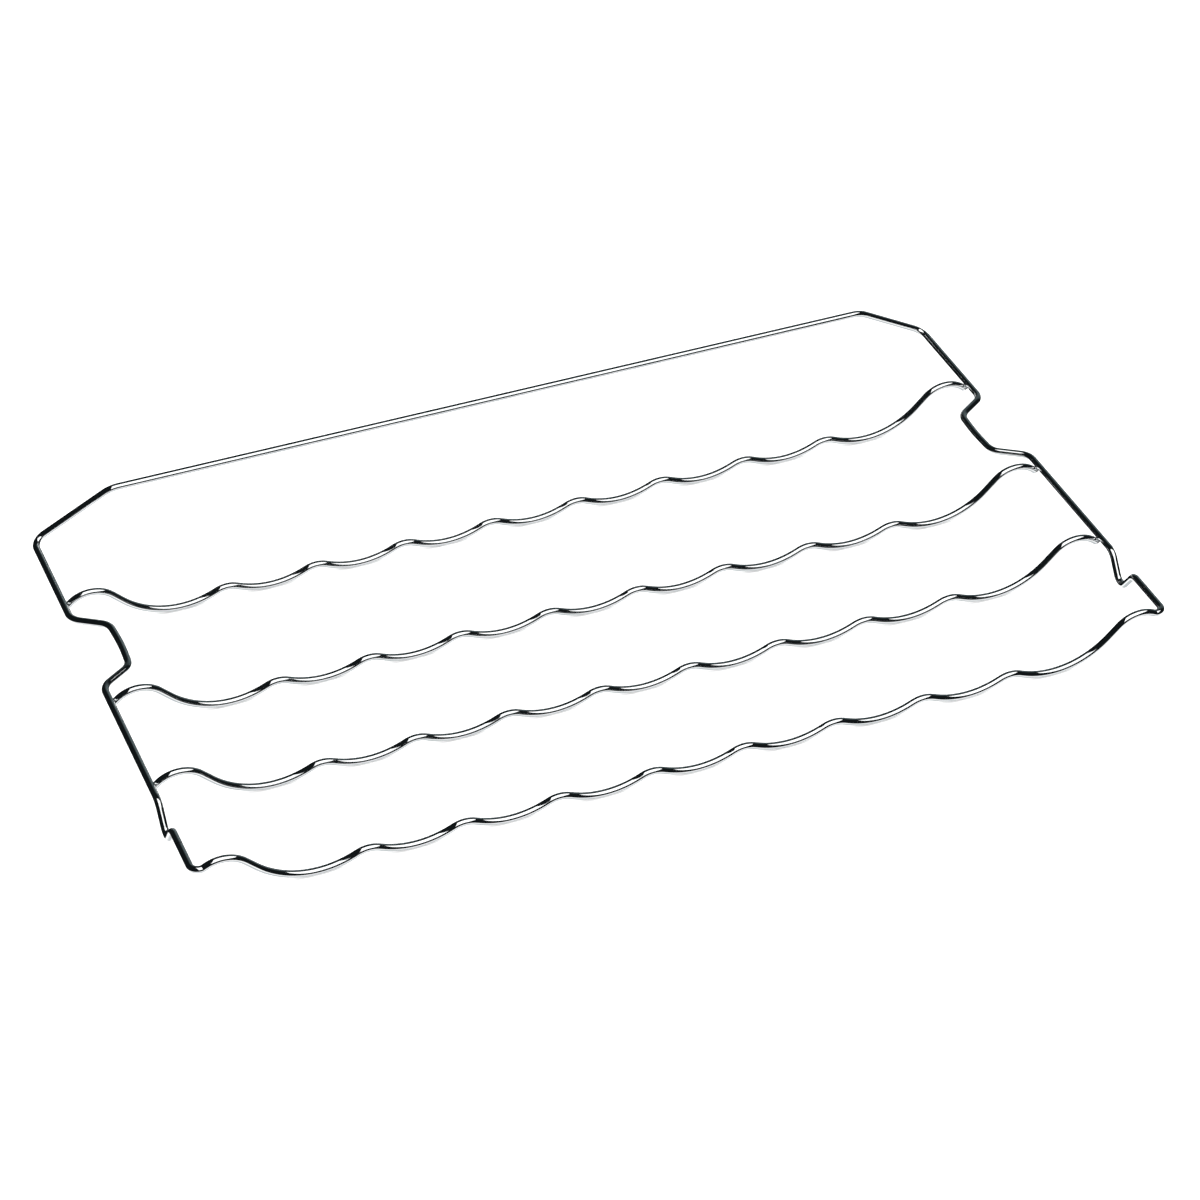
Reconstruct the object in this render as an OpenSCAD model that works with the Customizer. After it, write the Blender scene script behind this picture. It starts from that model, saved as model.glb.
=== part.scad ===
// Slide-in wire rack with four wave wires that cradle round items side by side.
// X runs across the rack, Y runs from its front to its back fence, Z is up.
// The origin is under the middle of the rack, on the surface it lies on.

/* [Rack] */
// Overall width, outside to outside of the two side wires
rack_width = 560; // [560:1:600]
// Overall depth, front wave wire to the back corners
rack_depth = 301; // [290:1:330]
// Diameter of every wire
wire_d = 4; // [3:0.5:4.5]
// Height of the side wires' centre line above the valleys' centre line
side_rise = 22; // [20:0.5:22.5]

/* [Waves] */
// Number of cradles across the rack
cradle_count = 9; // [7:2:9]
// Distance between neighbouring cradles
cradle_pitch = 52.8; // [50:0.1:52.8]
// Centre line radius of each cradle
cradle_r = 47; // [44:0.5:48]
// Centre line radius of the small crest between two cradles
crest_r = 14; // [12:0.5:16]
// Centre line radius of the high crest beside each side wire
end_crest_r = 17.5; // [15:0.5:18]
// Height of the high crests' centre line above the side wires' centre line
end_crest_rise = 2.9; // [2:0.1:3]
// Distance from a high crest's top to the side wire's centre line
end_crest_inset = 15.2; // [15:0.1:15.8]
// Distance from the front wave wire back to the second one
second_wave_y = 73; // [70:1:80]
// Distance from the front wave wire back to the third one
third_wave_y = 146.6; // [144:0.1:149]
// Distance from the front wave wire back to the rearmost one
rear_wave_y = 236.8; // [234:0.1:246]

/* [Side wires] */
// Distance from the front wave wire back to the bottom of the catch
catch_y = 46; // [44:1:48]
// Depth of the catch's centre line below the side wire
catch_depth = 13.5; // [10:0.5:16]
// Slope of the catch's two flanks
catch_slope = 55; // [50:1:60]
// Bend radii of the catch at its front top, its bottom and its rear top
catch_r = [6, 5.5, 9]; // [4:0.5:10]
// Depth of the side notch, centre line to centre line
notch_depth = 18.2; // [16:0.2:22]
// Distance from the front wave wire back to the start of the notch
notch_y = 158.2; // [157:0.2:160]
// Length of the notch where it opens outwards
notch_length = 62.6; // [60:0.2:68]
// Slope run of the notch's shoulders along the side wire
notch_shoulder = 12.2; // [10:0.2:14]
// Inward bow of the notch's long run
notch_bow = 1.1; // [0.6:0.1:1.6]
// Bend radius at the notch's four corners
notch_r = 9.5; // [7:0.5:10]

/* [Back fence] */
// Height of the back rail's centre line above the side wires' centre line
fence_height = 27.5; // [20:0.1:40]
// Distance from a side wire to the top of its sloping post
fence_inset = 45.6; // [35:0.1:60]
// Forward lean of the fence at its rail
fence_lean = 4.9; // [0:0.1:8]
// Bend radius at the back corners
back_corner_r = 6.5; // [5:0.5:9]
// Bend radius where the posts meet the rail
rail_r = 18; // [12:1:26]

/* [Joints] */
// Bend radius of the front corners
front_corner_r = 4.5; // [3.5:0.1:4.6]
// Distance from the front wave wire back to the butt welds in the side wires
seam_y = 21; // [15:0.5:26]
// Thickness of a butt weld
seam_gap = 0.8; // [0.4:0.1:1.2]
// How far the end of a wave wire is sunk into the side wire
weld_sink = 0.4; // [0.2:0.1:0.6]
// Radius of the weld bead under each wave wire's end
bead_r = 1.7; // [1.4:0.1:2]

/* [Hidden] */
$fn = 32;
wire_r = wire_d / 2;
// a bend draws the wire down a little, and each straight runs on into it by the lap
bend_wire_r = wire_r - 0.01;
bend_lap = 0.05;
side_x = rack_width / 2 - wire_r;
side_z = bend_wire_r + side_rise;
front_y = wire_r - rack_depth / 2;
// shortest straight that is worth drawing between two bends
least_run = 0.001;

// a short straight flank lies between each cradle and its crest, and leads into the front corners
flank = 2;
lead_flank = 1;
lead_r = 2.6;

cradle_slope = asin(cradle_pitch / 2 / norm([cradle_r + crest_r, flank])) - atan2(flank, cradle_r + crest_r);
outer_cradle_x = (cradle_count - 1) / 2 * cradle_pitch;
cradle_z = bend_wire_r + cradle_r;
crest_z = cradle_z - (cradle_r + crest_r) * cos(cradle_slope) + flank * sin(cradle_slope);

// straight flank that touches the outer cradle and the high crest
end_crest_x = side_x - end_crest_inset;
end_crest_z = side_z + end_crest_rise - end_crest_r;
flank_run = end_crest_x - outer_cradle_x;
flank_fall = cradle_z - end_crest_z;
flank_slope = atan2(flank_run, flank_fall)
  - acos((cradle_r + end_crest_r) / norm([flank_run, flank_fall]));

// an inner wave wire stops where the top of its cut end meets the side wire
end_slope = asin((end_crest_inset - wire_r + weld_sink) / (end_crest_r + wire_r));

// the front wave wire levels out before its corner bend
lead_radii = end_crest_r + lead_r;
lead_slope = acos((lead_radii - end_crest_rise) / norm([lead_radii, lead_flank])) - atan2(lead_flank, lead_radii);
level_x = end_crest_x + lead_radii * sin(lead_slope) + lead_flank * cos(lead_slope);

// the back corner is set so that its bend just reaches the rack's depth
post_run = [-fence_inset, -fence_lean, fence_height];
post_turn = acos(-fence_lean / norm(post_run));
back_corner_y = rack_depth / 2 - bend_wire_r - back_corner_r + back_corner_r * tan(post_turn / 2);

notch_end_y = notch_y + notch_length;
catch_bottom = catch_depth + catch_r[1] * (1 / cos(catch_slope) - 1);
catch_reach = catch_bottom / tan(catch_slope);
bow_r = 150;

// each bead sits this far round the underside of the side wire, and stands this share of its radius off it
bead_slope = 55;
bead_stand = 0.7;

// where two tangents of an arc cross: angles count from straight down, or from straight up for a crest
function tangent_corner(centre, radius, from, to, up = -1) =
  centre + radius / cos((to - from) / 2) * [sin((from + to) / 2), up * cos((from + to) / 2)];

function in_wave_plane(p, y) = [p[0], y, p[1]];
function mirrored(points) = [for (i = [len(points) - 1 : -1 : 0]) [-points[i][0], points[i][1], points[i][2]]];
function reversed(values) = [for (i = [len(values) - 1 : -1 : 0]) values[i]];
function unit(v) = v / norm(v);

// corners of the small waves, right of the middle cradle
function small_wave_corners(y) = [
  for (i = [1 : cradle_count - 2])
    let (x = i * cradle_pitch / 2)
    in_wave_plane(i % 2 == 1
      ? tangent_corner([x, crest_z], crest_r, -cradle_slope, cradle_slope, 1)
      : tangent_corner([x, cradle_z], cradle_r, -cradle_slope, cradle_slope), y)
];
small_wave_radii = [for (i = [1 : cradle_count - 2]) i % 2 == 1 ? crest_r : cradle_r];

function outer_cradle_corner(y) =
  in_wave_plane(tangent_corner([outer_cradle_x, cradle_z], cradle_r, -cradle_slope, flank_slope), y);
function high_crest_corner(y, to) =
  in_wave_plane(tangent_corner([end_crest_x, end_crest_z], end_crest_r, -flank_slope, to, 1), y);
function middle_corner(y) =
  in_wave_plane(tangent_corner([0, cradle_z], cradle_r, -cradle_slope, cradle_slope), y);

// one end of an inner wave wire: high crest and cut end
function wave_end_corners(y) = [
  outer_cradle_corner(y),
  high_crest_corner(y, end_slope),
  in_wave_plane([end_crest_x, end_crest_z] + end_crest_r * [sin(end_slope), cos(end_slope)], y)
];
wave_end_radii = [cradle_r, end_crest_r];

// one end of the front wave wire: high crest, lead-in, corner and returned end
function front_end_corners() = [
  outer_cradle_corner(front_y),
  high_crest_corner(front_y, lead_slope),
  in_wave_plane(tangent_corner([level_x, side_z + lead_r], lead_r, -lead_slope, 0), front_y),
  [side_x, front_y, side_z],
  [side_x, front_y + seam_y - seam_gap / 2, side_z]
];
front_end_radii = [cradle_r, end_crest_r, lead_r, front_corner_r];

// side wire and fence post from the butt weld to the back rail
frame_corners = [
  [side_x, front_y + seam_y + seam_gap / 2, side_z],
  [side_x, front_y + catch_y - catch_reach, side_z],
  [side_x, front_y + catch_y, side_z - catch_bottom],
  [side_x, front_y + catch_y + catch_reach, side_z],
  [side_x, front_y + notch_y, side_z],
  [side_x - notch_depth, front_y + notch_y + notch_shoulder, side_z],
  [side_x - notch_depth - notch_bow, front_y + (notch_y + notch_end_y) / 2, side_z],
  [side_x - notch_depth, front_y + notch_end_y - notch_shoulder, side_z],
  [side_x, front_y + notch_end_y, side_z],
  [side_x, back_corner_y, side_z],
  [side_x, back_corner_y, side_z] + post_run
];
frame_radii = concat(catch_r, [notch_r, notch_r, bow_r, notch_r, notch_r, back_corner_r, rail_r]);

// right-handed frame with the given X and Y directions, placed at a point
module place(x_dir, y_dir, at) {
  z_dir = cross(x_dir, y_dir);
  multmatrix([
    [x_dir[0], y_dir[0], z_dir[0], at[0]],
    [x_dir[1], y_dir[1], z_dir[1], at[1]],
    [x_dir[2], y_dir[2], z_dir[2], at[2]]
  ]) children();
}

module straight(a, b) {
  run = unit(b - a);
  side = abs(run[1]) > 0.9 ? [1, 0, 0] : [0, 1, 0];
  x_dir = unit(cross(side, run));
  place(x_dir, cross(run, x_dir), a) cylinder(h = norm(b - a), r = wire_r);
}

// straight length that a bend of the given radius takes up on each side of its corner
function bend_reach(a, corner, b, radius) =
  radius * tan(acos(unit(corner - a) * unit(b - corner)) / 2);

module bend(a, corner, b, radius) {
  before = unit(corner - a);
  after = unit(b - corner);
  inward = unit(after - before * (before * after));
  start = corner - before * bend_reach(a, corner, b, radius);
  place(-inward, before, start + inward * radius)
    rotate_extrude(angle = acos(before * after))
      translate([radius, 0])
        circle(r = bend_wire_r);
}

// a wire through the given corners, bent to the given radii
module bent_wire(corners, radii) {
  last = len(corners) - 1;
  reach = [
    for (i = [0 : last])
      i == 0 || i == last ? 0 : bend_reach(corners[i - 1], corners[i], corners[i + 1], radii[i - 1])
  ];
  for (i = [1 : last - 1]) {
    bend(corners[i - 1], corners[i], corners[i + 1], radii[i - 1]);
  }
  for (i = [0 : last - 1]) {
    run = unit(corners[i + 1] - corners[i]);
    before = i == 0 ? 0 : reach[i] - bend_lap;
    after = i == last - 1 ? 0 : reach[i + 1] - bend_lap;
    if (norm(corners[i + 1] - corners[i]) > reach[i] + reach[i + 1] + least_run) {
      straight(corners[i] + run * before, corners[i + 1] - run * after);
    }
  }
}

// the stretch of side wire that a wave wire is welded to
module side_wire_at(side, y) {
  stretch = 6 * wire_d;
  translate([side * side_x, y - stretch / 2, side_z])
    rotate([-90, 0, 0])
      cylinder(h = stretch, r = wire_r);
}

module inner_wave_wire(y) {
  half = concat(small_wave_corners(y), wave_end_corners(y));
  radii = concat(small_wave_radii, wave_end_radii);
  difference() {
    bent_wire(
      concat(mirrored(half), [middle_corner(y)], half),
      concat(reversed(radii), [cradle_r], radii)
    );
    side_wire_at(-1, y);
    side_wire_at(1, y);
  }
}

// bead in the wedge between a wave wire's cut end and the underside of the side wire
module weld_bead(y) {
  difference() {
    translate([side_x, y, side_z])
      rotate([0, -bead_slope, 0])
        translate([-wire_r - bead_stand * bead_r, 0, 0])
          sphere(r = bead_r);
    bent_wire(wave_end_corners(y), [end_crest_r]);
    side_wire_at(1, y);
  }
}

module seam_weld(side) {
  translate([side * side_x, front_y + seam_y - seam_gap / 2, side_z])
    rotate([-90, 0, 0])
      cylinder(h = seam_gap, r = wire_r);
}

module frame_wire() {
  color("silver")
    bent_wire(
      concat(frame_corners, mirrored(frame_corners)),
      concat(frame_radii, reversed(frame_radii))
    );
}

module front_wave_wire() {
  half = concat(small_wave_corners(front_y), front_end_corners());
  radii = concat(small_wave_radii, front_end_radii);
  color("gainsboro")
    bent_wire(
      concat(mirrored(half), [middle_corner(front_y)], half),
      concat(reversed(radii), [cradle_r], radii)
    );
}

module second_wave_wire() {
  color("gainsboro")
    inner_wave_wire(front_y + second_wave_y);
}

module third_wave_wire() {
  color("gainsboro")
    inner_wave_wire(front_y + third_wave_y);
}

module rear_wave_wire() {
  color("gainsboro")
    inner_wave_wire(front_y + rear_wave_y);
}

module left_seam_weld() {
  color("dimgray")
    seam_weld(-1);
}

module right_seam_weld() {
  color("dimgray")
    seam_weld(1);
}

module second_wave_left_weld() {
  color("dimgray")
    mirror([1, 0, 0]) weld_bead(front_y + second_wave_y);
}

module second_wave_right_weld() {
  color("dimgray")
    weld_bead(front_y + second_wave_y);
}

module third_wave_left_weld() {
  color("dimgray")
    mirror([1, 0, 0]) weld_bead(front_y + third_wave_y);
}

module third_wave_right_weld() {
  color("dimgray")
    weld_bead(front_y + third_wave_y);
}

module rear_wave_left_weld() {
  color("dimgray")
    mirror([1, 0, 0]) weld_bead(front_y + rear_wave_y);
}

module rear_wave_right_weld() {
  color("dimgray")
    weld_bead(front_y + rear_wave_y);
}

frame_wire();
front_wave_wire();
second_wave_wire();
third_wave_wire();
rear_wave_wire();
left_seam_weld();
right_seam_weld();
second_wave_left_weld();
second_wave_right_weld();
third_wave_left_weld();
third_wave_right_weld();
rear_wave_left_weld();
rear_wave_right_weld();
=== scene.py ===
import math

import bmesh
import bpy
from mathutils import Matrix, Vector, noise


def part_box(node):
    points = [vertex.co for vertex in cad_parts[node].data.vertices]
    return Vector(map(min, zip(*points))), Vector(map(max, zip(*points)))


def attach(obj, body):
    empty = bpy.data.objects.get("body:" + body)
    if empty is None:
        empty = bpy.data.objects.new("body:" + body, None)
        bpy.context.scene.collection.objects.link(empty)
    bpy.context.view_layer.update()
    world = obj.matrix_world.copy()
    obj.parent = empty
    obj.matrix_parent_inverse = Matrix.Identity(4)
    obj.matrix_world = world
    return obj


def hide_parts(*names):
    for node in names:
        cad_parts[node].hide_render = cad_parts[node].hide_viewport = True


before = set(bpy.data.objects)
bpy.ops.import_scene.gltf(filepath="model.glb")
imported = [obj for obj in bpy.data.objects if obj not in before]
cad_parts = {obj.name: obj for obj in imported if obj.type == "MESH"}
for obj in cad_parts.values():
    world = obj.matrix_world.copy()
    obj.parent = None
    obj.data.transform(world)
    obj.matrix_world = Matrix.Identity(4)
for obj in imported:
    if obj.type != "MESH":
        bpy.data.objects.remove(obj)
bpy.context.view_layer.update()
print("frame loaded, nodes:", len(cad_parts))

mm = 0.001  # the rack is given in millimetres, and the studio in metres
scene = bpy.context.scene

# sizes of the rack, read off the frame where it can be
sideLow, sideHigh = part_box("frame_wire")
waveLow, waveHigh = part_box("front_wave_wire")

rack = {
    "wire": 4.0,  # diameter of every wire
    "width": (sideHigh.x - sideLow.x) / mm,
    "back": sideHigh.y / mm,
    "front": waveLow.y / mm,
    "top": sideHigh.z / mm,
    "sideRise": 22.0,  # side wires above the valleys, centre to centre
    "bendThinning": 0.01,  # how much a bend draws the wire's radius down
    "bendPoints": 20,  # points round each bend
    "sidesRound": 24,  # sides round the wire
}
wireR = rack["wire"] / 2
bendWireR = wireR - rack["bendThinning"]
sideX = rack["width"] / 2 - wireR
sideZ = bendWireR + rack["sideRise"]
frontY = rack["front"] + wireR


# camera
view = {
    "place": (-606.9, -1484.3, 1260.7),
    "target": (-4.1, -21.8, 24.0),
    "lens": 109.47,
    "sensor": 36.0,
    "reach": 60.0,  # farthest thing drawn, in metres
}


def makeCamera():
    data = bpy.data.cameras.new("camera")
    data.lens = view["lens"]
    data.sensor_width = view["sensor"]
    data.clip_end = view["reach"]
    camera = bpy.data.objects.new("camera", data)
    scene.collection.objects.link(camera)
    camera.location = Vector(view["place"]) * mm
    aim = (Vector(view["target"]) - Vector(view["place"])).normalized()
    camera.rotation_euler = aim.to_track_quat("-Z", "Y").to_euler()
    scene.camera = camera


makeCamera()
print("camera placed")


# paths of the wires: sharp corners, each with the radius it is bent to
waves = {
    "count": 9,
    "pitch": 52.8,
    "cradleR": 47.0,
    "crestR": 14.0,
    "endCrestR": 17.5,
    "endCrestRise": 2.9,
    "endCrestInset": 15.2,
    "flank": 2.0,
    "leadFlank": 1.0,
    "leadR": 2.6,
    "cornerR": 4.5,
    "seam": 21.0,  # front wave wire back to the butt welds
    "seamGap": 0.8,
    "sink": 0.9,  # how far an inner wave wire's end runs into the side wire
    "inner": {
        "second_wave_wire": "secondWaveWire",
        "third_wave_wire": "thirdWaveWire",
        "rear_wave_wire": "rearWaveWire",
    },
}


def arcCorner(centre, radius, start, stop, up):
    # where the tangents at both ends of an arc cross; angles count from straight down, or up for a crest
    half = (stop - start) / 2
    middle = (stop + start) / 2
    reach = radius / math.cos(half)
    return (centre[0] + reach * math.sin(middle), centre[1] + up * reach * math.cos(middle))


def wavePath(y, isFront):
    w = waves
    both = w["cradleR"] + w["crestR"]
    slope = math.asin(w["pitch"] / 2 / math.hypot(both, w["flank"])) - math.atan2(w["flank"], both)
    cradleZ = bendWireR + w["cradleR"]
    crestZ = cradleZ - both * math.cos(slope) + w["flank"] * math.sin(slope)
    half = []
    for i in range(1, w["count"] - 1):
        x = i * w["pitch"] / 2
        if i % 2:
            half.append((*arcCorner((x, crestZ), w["crestR"], -slope, slope, 1), w["crestR"]))
        else:
            half.append((*arcCorner((x, cradleZ), w["cradleR"], -slope, slope, -1), w["cradleR"]))

    outerX = (w["count"] - 1) / 2 * w["pitch"]
    endX = sideX - w["endCrestInset"]
    endZ = sideZ + w["endCrestRise"] - w["endCrestR"]
    run, fall = endX - outerX, cradleZ - endZ
    flankSlope = math.atan2(run, fall) - math.acos((w["cradleR"] + w["endCrestR"]) / math.hypot(run, fall))
    half.append((*arcCorner((outerX, cradleZ), w["cradleR"], -slope, flankSlope, -1), w["cradleR"]))

    if isFront:
        radii = w["endCrestR"] + w["leadR"]
        lead = math.acos((radii - w["endCrestRise"]) / math.hypot(radii, w["leadFlank"]))
        lead -= math.atan2(w["leadFlank"], radii)
        levelX = endX + radii * math.sin(lead) + w["leadFlank"] * math.cos(lead)
        half.append((*arcCorner((endX, endZ), w["endCrestR"], -flankSlope, lead, 1), w["endCrestR"]))
        half.append((*arcCorner((levelX, sideZ + w["leadR"]), w["leadR"], -lead, 0, -1), w["leadR"]))
        tail = [((sideX, y, sideZ), w["cornerR"]), ((sideX, y + w["seam"] - w["seamGap"] / 2, sideZ), 0)]
    else:
        cut = math.asin((w["endCrestInset"] - wireR + w["sink"]) / (w["endCrestR"] + wireR))
        half.append((*arcCorner((endX, endZ), w["endCrestR"], -flankSlope, cut, 1), w["endCrestR"]))
        tip = (endX + w["endCrestR"] * math.sin(cut), endZ + w["endCrestR"] * math.cos(cut))
        tail = [((tip[0], y, tip[1]), 0)]

    right = [((x, y, z), r) for x, z, r in half] + tail
    middle = (*arcCorner((0, cradleZ), w["cradleR"], -slope, slope, -1), w["cradleR"])
    left = [((-p[0], p[1], p[2]), r) for p, r in reversed(right)]
    return left + [((middle[0], y, middle[1]), middle[2])] + right


sides = {
    "catch": 46.0,  # all distances are measured back from the front wave wire
    "catchDepth": 13.5,
    "catchSlope": 55.0,
    "catchR": (6.0, 5.5, 9.0),
    "notch": 158.2,
    "notchLength": 62.6,
    "notchDepth": 18.2,
    "notchShoulder": 12.2,
    "notchBow": 1.1,
    "notchR": 9.5,
    "bowR": 150.0,
    "fenceHeight": rack["top"] - wireR - sideZ,
    "fenceInset": 45.6,
    "fenceLean": 4.9,
    "cornerR": 6.5,
    "railR": 18.0,
}


def framePath():
    s = sides
    slope = math.radians(s["catchSlope"])
    bottom = s["catchDepth"] + s["catchR"][1] * (1 / math.cos(slope) - 1)
    reach = bottom / math.tan(slope)
    catchY = frontY + s["catch"]
    notchY = frontY + s["notch"]
    notchEnd = notchY + s["notchLength"]
    inX = sideX - s["notchDepth"]
    post = Vector((-s["fenceInset"], -s["fenceLean"], s["fenceHeight"]))
    turn = math.acos(-s["fenceLean"] / post.length)
    backY = rack["back"] - bendWireR - s["cornerR"] + s["cornerR"] * math.tan(turn / 2)
    corner = Vector((sideX, backY, sideZ))
    right = [
        ((sideX, frontY + waves["seam"] + waves["seamGap"] / 2, sideZ), 0),
        ((sideX, catchY - reach, sideZ), s["catchR"][0]),
        ((sideX, catchY, sideZ - bottom), s["catchR"][1]),
        ((sideX, catchY + reach, sideZ), s["catchR"][2]),
        ((sideX, notchY, sideZ), s["notchR"]),
        ((inX, notchY + s["notchShoulder"], sideZ), s["notchR"]),
        ((inX - s["notchBow"], (notchY + notchEnd) / 2, sideZ), s["bowR"]),
        ((inX, notchEnd - s["notchShoulder"], sideZ), s["notchR"]),
        ((sideX, notchEnd, sideZ), s["notchR"]),
        (tuple(corner), s["cornerR"]),
        (tuple(corner + post), s["railR"]),
    ]
    left = [((-p[0], p[1], p[2]), r) for p, r in reversed(right)]
    return right + left


# the bent wire tree
def addNode(tree, kind, inputs=None, **values):
    node = tree.nodes.new(kind)
    for key, value in values.items():
        setattr(node, key, value)
    for key, value in (inputs or {}).items():
        node.inputs[key].default_value = value
    return node


def socketOf(tree, name, kind, default):
    socket = tree.interface.new_socket(name=name, in_out="INPUT", socket_type=kind)
    socket.default_value = default
    return socket


def makeWireTree(wireMaterial):
    tree = bpy.data.node_groups.new("bentWire", "GeometryNodeTree")
    tree.interface.new_socket(name="Path", in_out="INPUT", socket_type="NodeSocketGeometry")
    socketOf(tree, "Wire Radius", "NodeSocketFloat", wireR * mm)
    socketOf(tree, "Bend Points", "NodeSocketInt", rack["bendPoints"])
    socketOf(tree, "Sides Round", "NodeSocketInt", rack["sidesRound"])
    tree.interface.new_socket(name="Wire", in_out="OUTPUT", socket_type="NodeSocketGeometry")
    link = tree.links.new

    groupIn = addNode(tree, "NodeGroupInput")
    groupOut = addNode(tree, "NodeGroupOutput")
    toCurve = addNode(tree, "GeometryNodeMeshToCurve")
    link(groupIn.outputs["Path"], toCurve.inputs["Mesh"])

    # every corner is rounded to the radius that the path carries there
    bendRadius = addNode(tree, "GeometryNodeInputNamedAttribute", {"Name": "bendRadius"}, data_type="FLOAT")
    fillet = addNode(tree, "GeometryNodeFilletCurve", mode="POLY")
    link(toCurve.outputs["Curve"], fillet.inputs["Curve"])
    link(bendRadius.outputs["Attribute"], fillet.inputs["Radius"])
    link(groupIn.outputs["Bend Points"], fillet.inputs["Count"])

    ring = addNode(tree, "GeometryNodeCurvePrimitiveCircle")
    link(groupIn.outputs["Sides Round"], ring.inputs["Resolution"])
    link(groupIn.outputs["Wire Radius"], ring.inputs["Radius"])
    sweep = addNode(tree, "GeometryNodeCurveToMesh", {"Fill Caps": True})
    link(fillet.outputs["Curve"], sweep.inputs["Curve"])
    link(ring.outputs["Curve"], sweep.inputs["Profile Curve"])

    smooth = addNode(tree, "GeometryNodeSetShadeSmooth")
    realize = addNode(tree, "GeometryNodeRealizeInstances")
    setMaterial = addNode(tree, "GeometryNodeSetMaterial", {"Material": wireMaterial})
    link(sweep.outputs["Mesh"], smooth.inputs["Geometry"])
    link(smooth.outputs["Geometry"], realize.inputs["Geometry"])
    link(realize.outputs["Geometry"], setMaterial.inputs["Geometry"])
    link(setMaterial.outputs["Geometry"], groupOut.inputs["Wire"])
    return tree


def makeWire(name, path, tree, node):
    # the path goes in as a plain chain of edges carrying its bend radii
    chain = bpy.data.meshes.new(name + "Path")
    points = [Vector(p) * mm for p, r in path]
    chain.from_pydata(points, [(i, i + 1) for i in range(len(points) - 1)], [])
    radii = chain.attributes.new("bendRadius", "FLOAT", "POINT")
    radii.data.foreach_set("value", [r * mm for p, r in path])
    carrier = bpy.data.objects.new(name + "Carrier", chain)
    scene.collection.objects.link(carrier)
    modifier = carrier.modifiers.new("bentWire", "NODES")
    modifier.node_group = tree
    for item in tree.interface.items_tree:
        if item.item_type == "SOCKET" and item.in_out == "INPUT" and item.name == "Wire Radius":
            modifier[item.identifier] = bendWireR * mm
    bpy.context.view_layer.update()
    evaluated = carrier.evaluated_get(bpy.context.evaluated_depsgraph_get())
    mesh = bpy.data.meshes.new_from_object(evaluated)
    mesh.name = name
    wire = bpy.data.objects.new(name, mesh)
    scene.collection.objects.link(wire)
    bpy.data.objects.remove(carrier)
    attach(wire, "root")
    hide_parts(node)


# finishes
plating = {
    "bright": (0.90, 0.91, 0.915),
    "dull": (0.80, 0.82, 0.83),
    "roughness": (0.03, 0.10),  # mirror bright, and where handling has dulled it
    "cloudSize": 45.0,  # spots of duller plating, per metre
    "cloudDetail": 5.0,
    "cloudEdges": (0.35, 0.58),  # where the noise goes from dull to bright
    "drawSize": 900.0,  # fine waviness left by wire drawing, per metre
    "drawDetail": 3.0,
    "drawHeight": 0.004,
}
weldFinish = {
    "bright": (0.45, 0.46, 0.46),
    "dull": (0.14, 0.14, 0.138),
    "roughness": (0.16, 0.42),
    "spatterSize": 1400.0,
    "spatterDetail": 4.0,
    "spatterEdges": (0.38, 0.62),
    "spatterHeight": 0.05,
}


def rampOf(tree, factor, stops):
    ramp = tree.nodes.new("ShaderNodeValToRGB")
    while len(ramp.color_ramp.elements) < len(stops):
        ramp.color_ramp.elements.new(0.5)
    for element, (place, colour) in zip(ramp.color_ramp.elements, stops):
        element.position = place
        element.color = (*colour, 1)
    tree.links.new(factor, ramp.inputs["Fac"])
    return ramp.outputs["Color"]


def rangeOf(tree, value, low, high):
    node = addNode(tree, "ShaderNodeMapRange", {"To Min": low, "To Max": high})
    tree.links.new(value, node.inputs["Value"])
    return node.outputs["Result"]


def noiseOf(tree, coords, scale, detail):
    node = addNode(tree, "ShaderNodeTexNoise", {"Scale": scale, "Detail": detail})
    tree.links.new(coords, node.inputs["Vector"])
    return node.outputs["Fac"]


def makeMetal(name):
    material = bpy.data.materials.new(name)
    material.use_nodes = True
    tree = material.node_tree
    shader = tree.nodes["Principled BSDF"]
    shader.inputs["Metallic"].default_value = 1.0
    coords = addNode(tree, "ShaderNodeTexCoord").outputs["Object"]
    return material, tree, shader, coords


def bumpInto(tree, shader, heights, depth):
    bump = addNode(tree, "ShaderNodeBump", {"Strength": 1.0, "Distance": depth * mm})
    tree.links.new(heights, bump.inputs["Height"])
    tree.links.new(bump.outputs["Normal"], shader.inputs["Normal"])


def makePlating():
    material, tree, shader, coords = makeMetal("chromePlating")
    cloud = noiseOf(tree, coords, plating["cloudSize"], plating["cloudDetail"])
    dullAt, brightAt = plating["cloudEdges"]
    colour = rampOf(tree, cloud, [(dullAt, plating["dull"]), (brightAt, plating["bright"])])
    tree.links.new(colour, shader.inputs["Base Color"])
    low, high = plating["roughness"]
    tree.links.new(rangeOf(tree, cloud, high, low), shader.inputs["Roughness"])
    drawn = noiseOf(tree, coords, plating["drawSize"], plating["drawDetail"])
    bumpInto(tree, shader, drawn, plating["drawHeight"])
    return material


def makeWeldFinish():
    material, tree, shader, coords = makeMetal("platedWeld")
    spatter = noiseOf(tree, coords, weldFinish["spatterSize"], weldFinish["spatterDetail"])
    dullAt, brightAt = weldFinish["spatterEdges"]
    colour = rampOf(tree, spatter, [(dullAt, weldFinish["dull"]), (brightAt, weldFinish["bright"])])
    tree.links.new(colour, shader.inputs["Base Color"])
    low, high = weldFinish["roughness"]
    tree.links.new(rangeOf(tree, spatter, high, low), shader.inputs["Roughness"])
    bumpInto(tree, shader, spatter, weldFinish["spatterHeight"])
    return material


chrome = makePlating()
weldMetal = makeWeldFinish()
print("finishes made")

wireTree = makeWireTree(chrome)
makeWire("frameWire", framePath(), wireTree, "frame_wire")
makeWire("frontWaveWire", wavePath(frontY, True), wireTree, "front_wave_wire")
for node, name in waves["inner"].items():
    low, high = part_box(node)
    middleY = (low.y + high.y) / 2 / mm
    makeWire(name, wavePath(middleY, False), wireTree, node)
print("wires bent")


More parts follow.
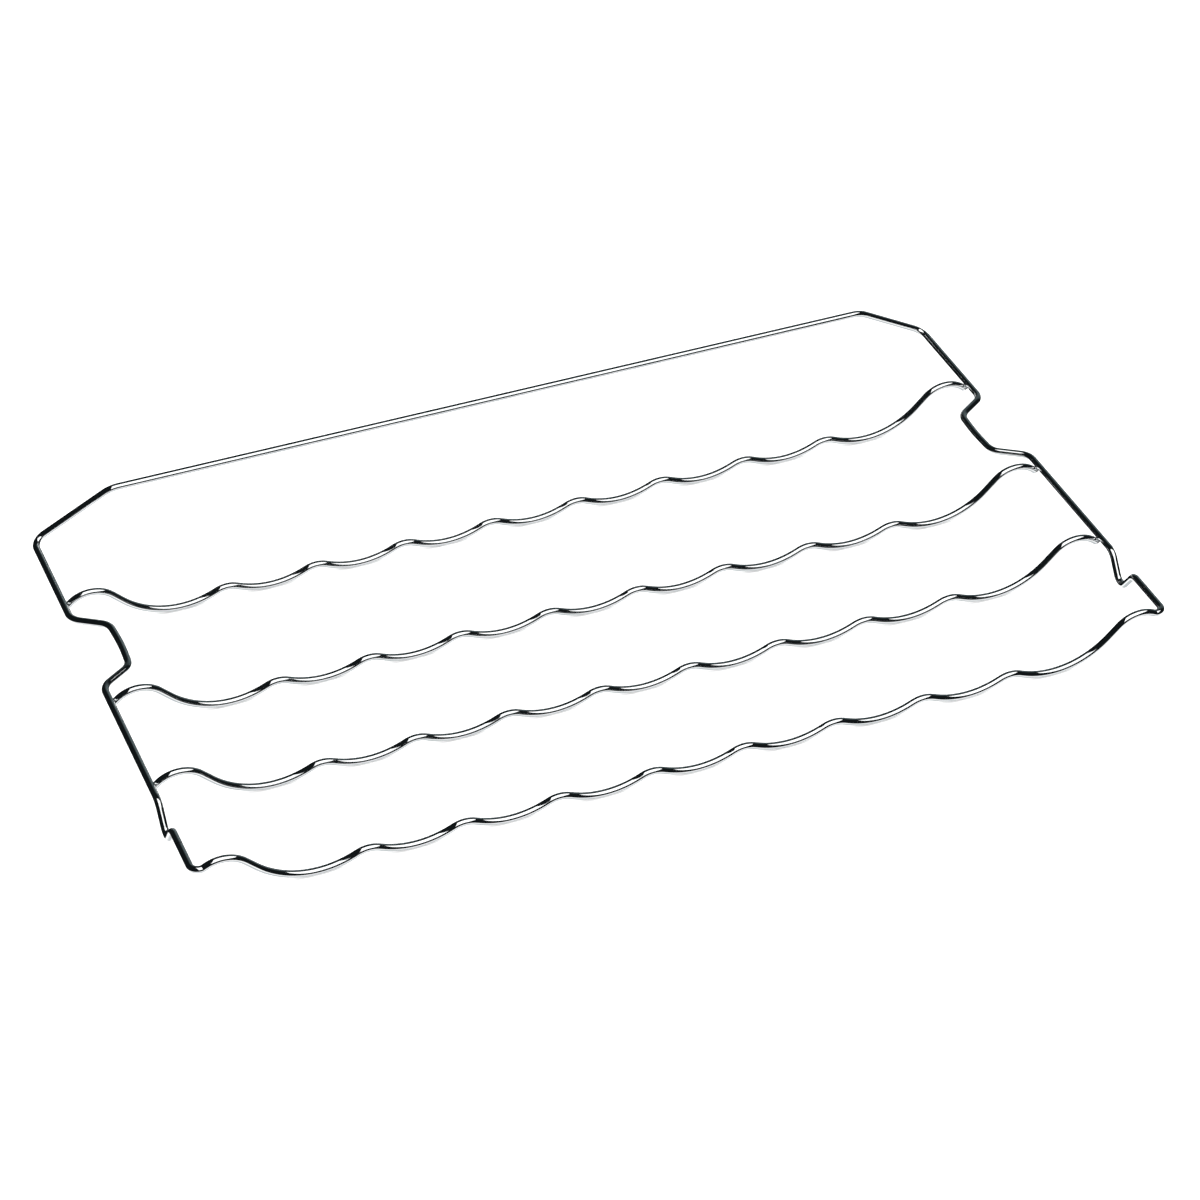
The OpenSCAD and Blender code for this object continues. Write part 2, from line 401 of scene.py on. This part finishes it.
# welds: a lumpy nub under each wave end, and a fine groove round each butt weld
welds = {
    "nubStep": 3,  # how finely a nub is divided
    "lump": 0.12,  # deepest hollow, as a share of the nub's size
    "lumpSize": 700.0,
    "sides": 48,
    "grooveDepth": 0.09,
    "grooveFlat": 0.16,
}


def finishWeld(bm, name, node):
    for face in bm.faces:
        face.smooth = True
    bmesh.ops.recalc_face_normals(bm, faces=bm.faces)
    mesh = bpy.data.meshes.new(name)
    bm.to_mesh(mesh)
    bm.free()
    mesh.materials.append(weldMetal)
    weld = bpy.data.objects.new(name, mesh)
    scene.collection.objects.link(weld)
    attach(weld, "root")
    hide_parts(node)


def makeNub(name, node):
    low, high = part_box(node)
    centre, half = (low + high) / 2, (high - low) / 2
    bm = bmesh.new()
    bmesh.ops.create_icosphere(bm, subdivisions=welds["nubStep"], radius=1.0)
    for vert in bm.verts:
        lump = 1 - welds["lump"] * abs(noise.noise(centre + vert.co * half.x * welds["lumpSize"]))
        vert.co = centre + Vector((vert.co.x * half.x, vert.co.y * half.y, vert.co.z * half.z)) * lump
    finishWeld(bm, name, node)


def makeSeam(name, node):
    low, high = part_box(node)
    centre, half = (low + high) / 2, (high.y - low.y) / 2
    groove = (wireR - welds["grooveDepth"]) * mm
    flat = welds["grooveFlat"] * mm
    bm = bmesh.new()
    rings = []
    for along, radius in [(-half, wireR * mm), (-flat, groove), (flat, groove), (half, wireR * mm)]:
        ring = []
        for i in range(welds["sides"]):
            turn = 2 * math.pi * i / welds["sides"]
            at = (centre.x + radius * math.cos(turn), centre.y + along, centre.z + radius * math.sin(turn))
            ring.append(bm.verts.new(at))
        rings.append(ring)
    for front, back in zip(rings, rings[1:]):
        for i in range(welds["sides"]):
            after = (i + 1) % welds["sides"]
            bm.faces.new((front[i], front[after], back[after], back[i]))
    bm.faces.new(rings[0])
    bm.faces.new(rings[-1])
    finishWeld(bm, name, node)


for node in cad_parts:
    name = "".join(word.capitalize() for word in node.split("_"))
    name = name[0].lower() + name[1:]
    if node.endswith("seam_weld"):
        makeSeam(name, node)
    elif node.endswith("weld"):
        makeNub(name, node)
print("welds made")


# floor, light and room
studio = {
    "floor": 16.0,
    "floorWhite": 0.94,
    "floorRoughness": 0.95,
    "wallRadius": 7.5,  # pale wall all round, so that a low view has no dark horizon
    "wallHeight": 9.0,
    "wallSides": 96,
    "wallShine": 1.05,
    "boxPlace": (0.60, -2.25, 2.0),  # middle of the softbox, in metres
    "boxSize": (2.8, 4.4),
    "boxTurn": -6.0,
    "boxShine": 1.5,
    "fillSpread": 150.0,
    "fillShine": 5.2,
    "roomDark": (0.006, 0.008, 0.009),
    "roomWhite": (1.25, 1.25, 1.25),
    "roomPale": (0.62, 0.645, 0.66),
    "roomTeal": (0.10, 0.125, 0.13),
    # heights of direction, straight down being -1: pale to white, and then white to dark
    "paleBelow": -0.90,
    "whiteFrom": -0.72,
    "whiteTo": -0.60,
    "darkAbove": -0.54,
    "paleTilt": (-0.037, 0.114, 0.0),  # raises the pale part a little at the front
    "tealTowards": (0.62, 0.78, 0.1),  # the slightly lit corner at the back right
    "tealEdges": (0.70, 0.98),
}


def makeFloor():
    half = studio["floor"] / 2
    mesh = bpy.data.meshes.new("floor")
    corners = [(-half, -half, 0), (half, -half, 0), (half, half, 0), (-half, half, 0)]
    mesh.from_pydata(corners, [], [(0, 1, 2, 3)])
    floor = bpy.data.objects.new("floor", mesh)
    scene.collection.objects.link(floor)
    material = bpy.data.materials.new("paleFloor")
    material.use_nodes = True
    shader = material.node_tree.nodes["Principled BSDF"]
    white = studio["floorWhite"]
    shader.inputs["Base Color"].default_value = (white, white, white, 1)
    shader.inputs["Roughness"].default_value = studio["floorRoughness"]
    shader.inputs["Specular IOR Level"].default_value = 0.0
    mesh.materials.append(material)
    floor.visible_glossy = False


def makeWall():
    radius = studio["wallRadius"]
    bm = bmesh.new()
    bmesh.ops.create_cone(
        bm, segments=studio["wallSides"], radius1=radius, radius2=radius, depth=studio["wallHeight"]
    )
    mesh = bpy.data.meshes.new("wall")
    bm.to_mesh(mesh)
    bm.free()
    wall = bpy.data.objects.new("wall", mesh)
    scene.collection.objects.link(wall)
    wall.location.z = studio["wallHeight"] / 2
    material = bpy.data.materials.new("paleWall")
    material.use_nodes = True
    shader = material.node_tree.nodes["Principled BSDF"]
    shader.inputs["Base Color"].default_value = (0, 0, 0, 1)
    shader.inputs["Emission Color"].default_value = (1, 1, 1, 1)
    shader.inputs["Emission Strength"].default_value = studio["wallShine"]
    mesh.materials.append(material)
    wall.visible_glossy = False
    wall.visible_diffuse = False
    wall.visible_shadow = False


def makeSoftbox():
    wide, deep = studio["boxSize"]
    data = bpy.data.lights.new("softbox", "AREA")
    data.shape = "RECTANGLE"
    data.size, data.size_y = wide, deep
    data.energy = studio["boxShine"] * math.pi * wide * deep
    softbox = bpy.data.objects.new("softbox", data)
    scene.collection.objects.link(softbox)
    softbox.location = studio["boxPlace"]
    softbox.rotation_euler.z = math.radians(studio["boxTurn"])


def makeFill():
    # even light from above that only the floor shows, so the plating keeps its dark room
    data = bpy.data.lights.new("fill", "SUN")
    data.angle = math.radians(studio["fillSpread"])
    data.energy = studio["fillShine"]
    fill = bpy.data.objects.new("fill", data)
    scene.collection.objects.link(fill)
    fill.visible_glossy = False


def makeRoom():
    world = bpy.data.worlds.new("room")
    world.use_nodes = True
    tree = world.node_tree
    towards = addNode(tree, "ShaderNodeTexCoord").outputs["Generated"]
    split = addNode(tree, "ShaderNodeSeparateXYZ")
    tree.links.new(towards, split.inputs["Vector"])
    ahead = addNode(tree, "ShaderNodeVectorMath", {1: studio["paleTilt"]}, operation="DOT_PRODUCT")
    tree.links.new(towards, ahead.inputs[0])
    height = addNode(tree, "ShaderNodeMath", operation="ADD")
    tree.links.new(split.outputs["Z"], height.inputs[0])
    tree.links.new(ahead.outputs["Value"], height.inputs[1])
    place = addNode(tree, "ShaderNodeMapRange", {"From Min": -1.0, "From Max": 1.0})
    tree.links.new(height.outputs["Value"], place.inputs["Value"])
    stops = [
        ((studio["paleBelow"] + 1) / 2, studio["roomPale"]),
        ((studio["whiteFrom"] + 1) / 2, studio["roomWhite"]),
        ((studio["whiteTo"] + 1) / 2, studio["roomWhite"]),
        ((studio["darkAbove"] + 1) / 2, studio["roomDark"]),
    ]
    base = rampOf(tree, place.outputs["Result"], stops)
    corner = addNode(tree, "ShaderNodeVectorMath", {1: studio["tealTowards"]}, operation="DOT_PRODUCT")
    tree.links.new(towards, corner.inputs[0])
    unlitAt, tealAt = studio["tealEdges"]
    glow = rampOf(tree, corner.outputs["Value"], [(unlitAt, (0.0, 0.0, 0.0)), (tealAt, studio["roomTeal"])])
    both = addNode(tree, "ShaderNodeMix", {"Factor": 1.0}, data_type="RGBA", blend_type="ADD")
    tree.links.new(base, both.inputs[6])  # 6, 7 and 2 are the Mix node's colour sockets
    tree.links.new(glow, both.inputs[7])
    tree.links.new(both.outputs[2], tree.nodes["Background"].inputs["Color"])
    scene.world = world
    scene.view_settings.view_transform = "Standard"


makeFloor()
makeWall()
makeSoftbox()
makeFill()
makeRoom()
print("studio set")
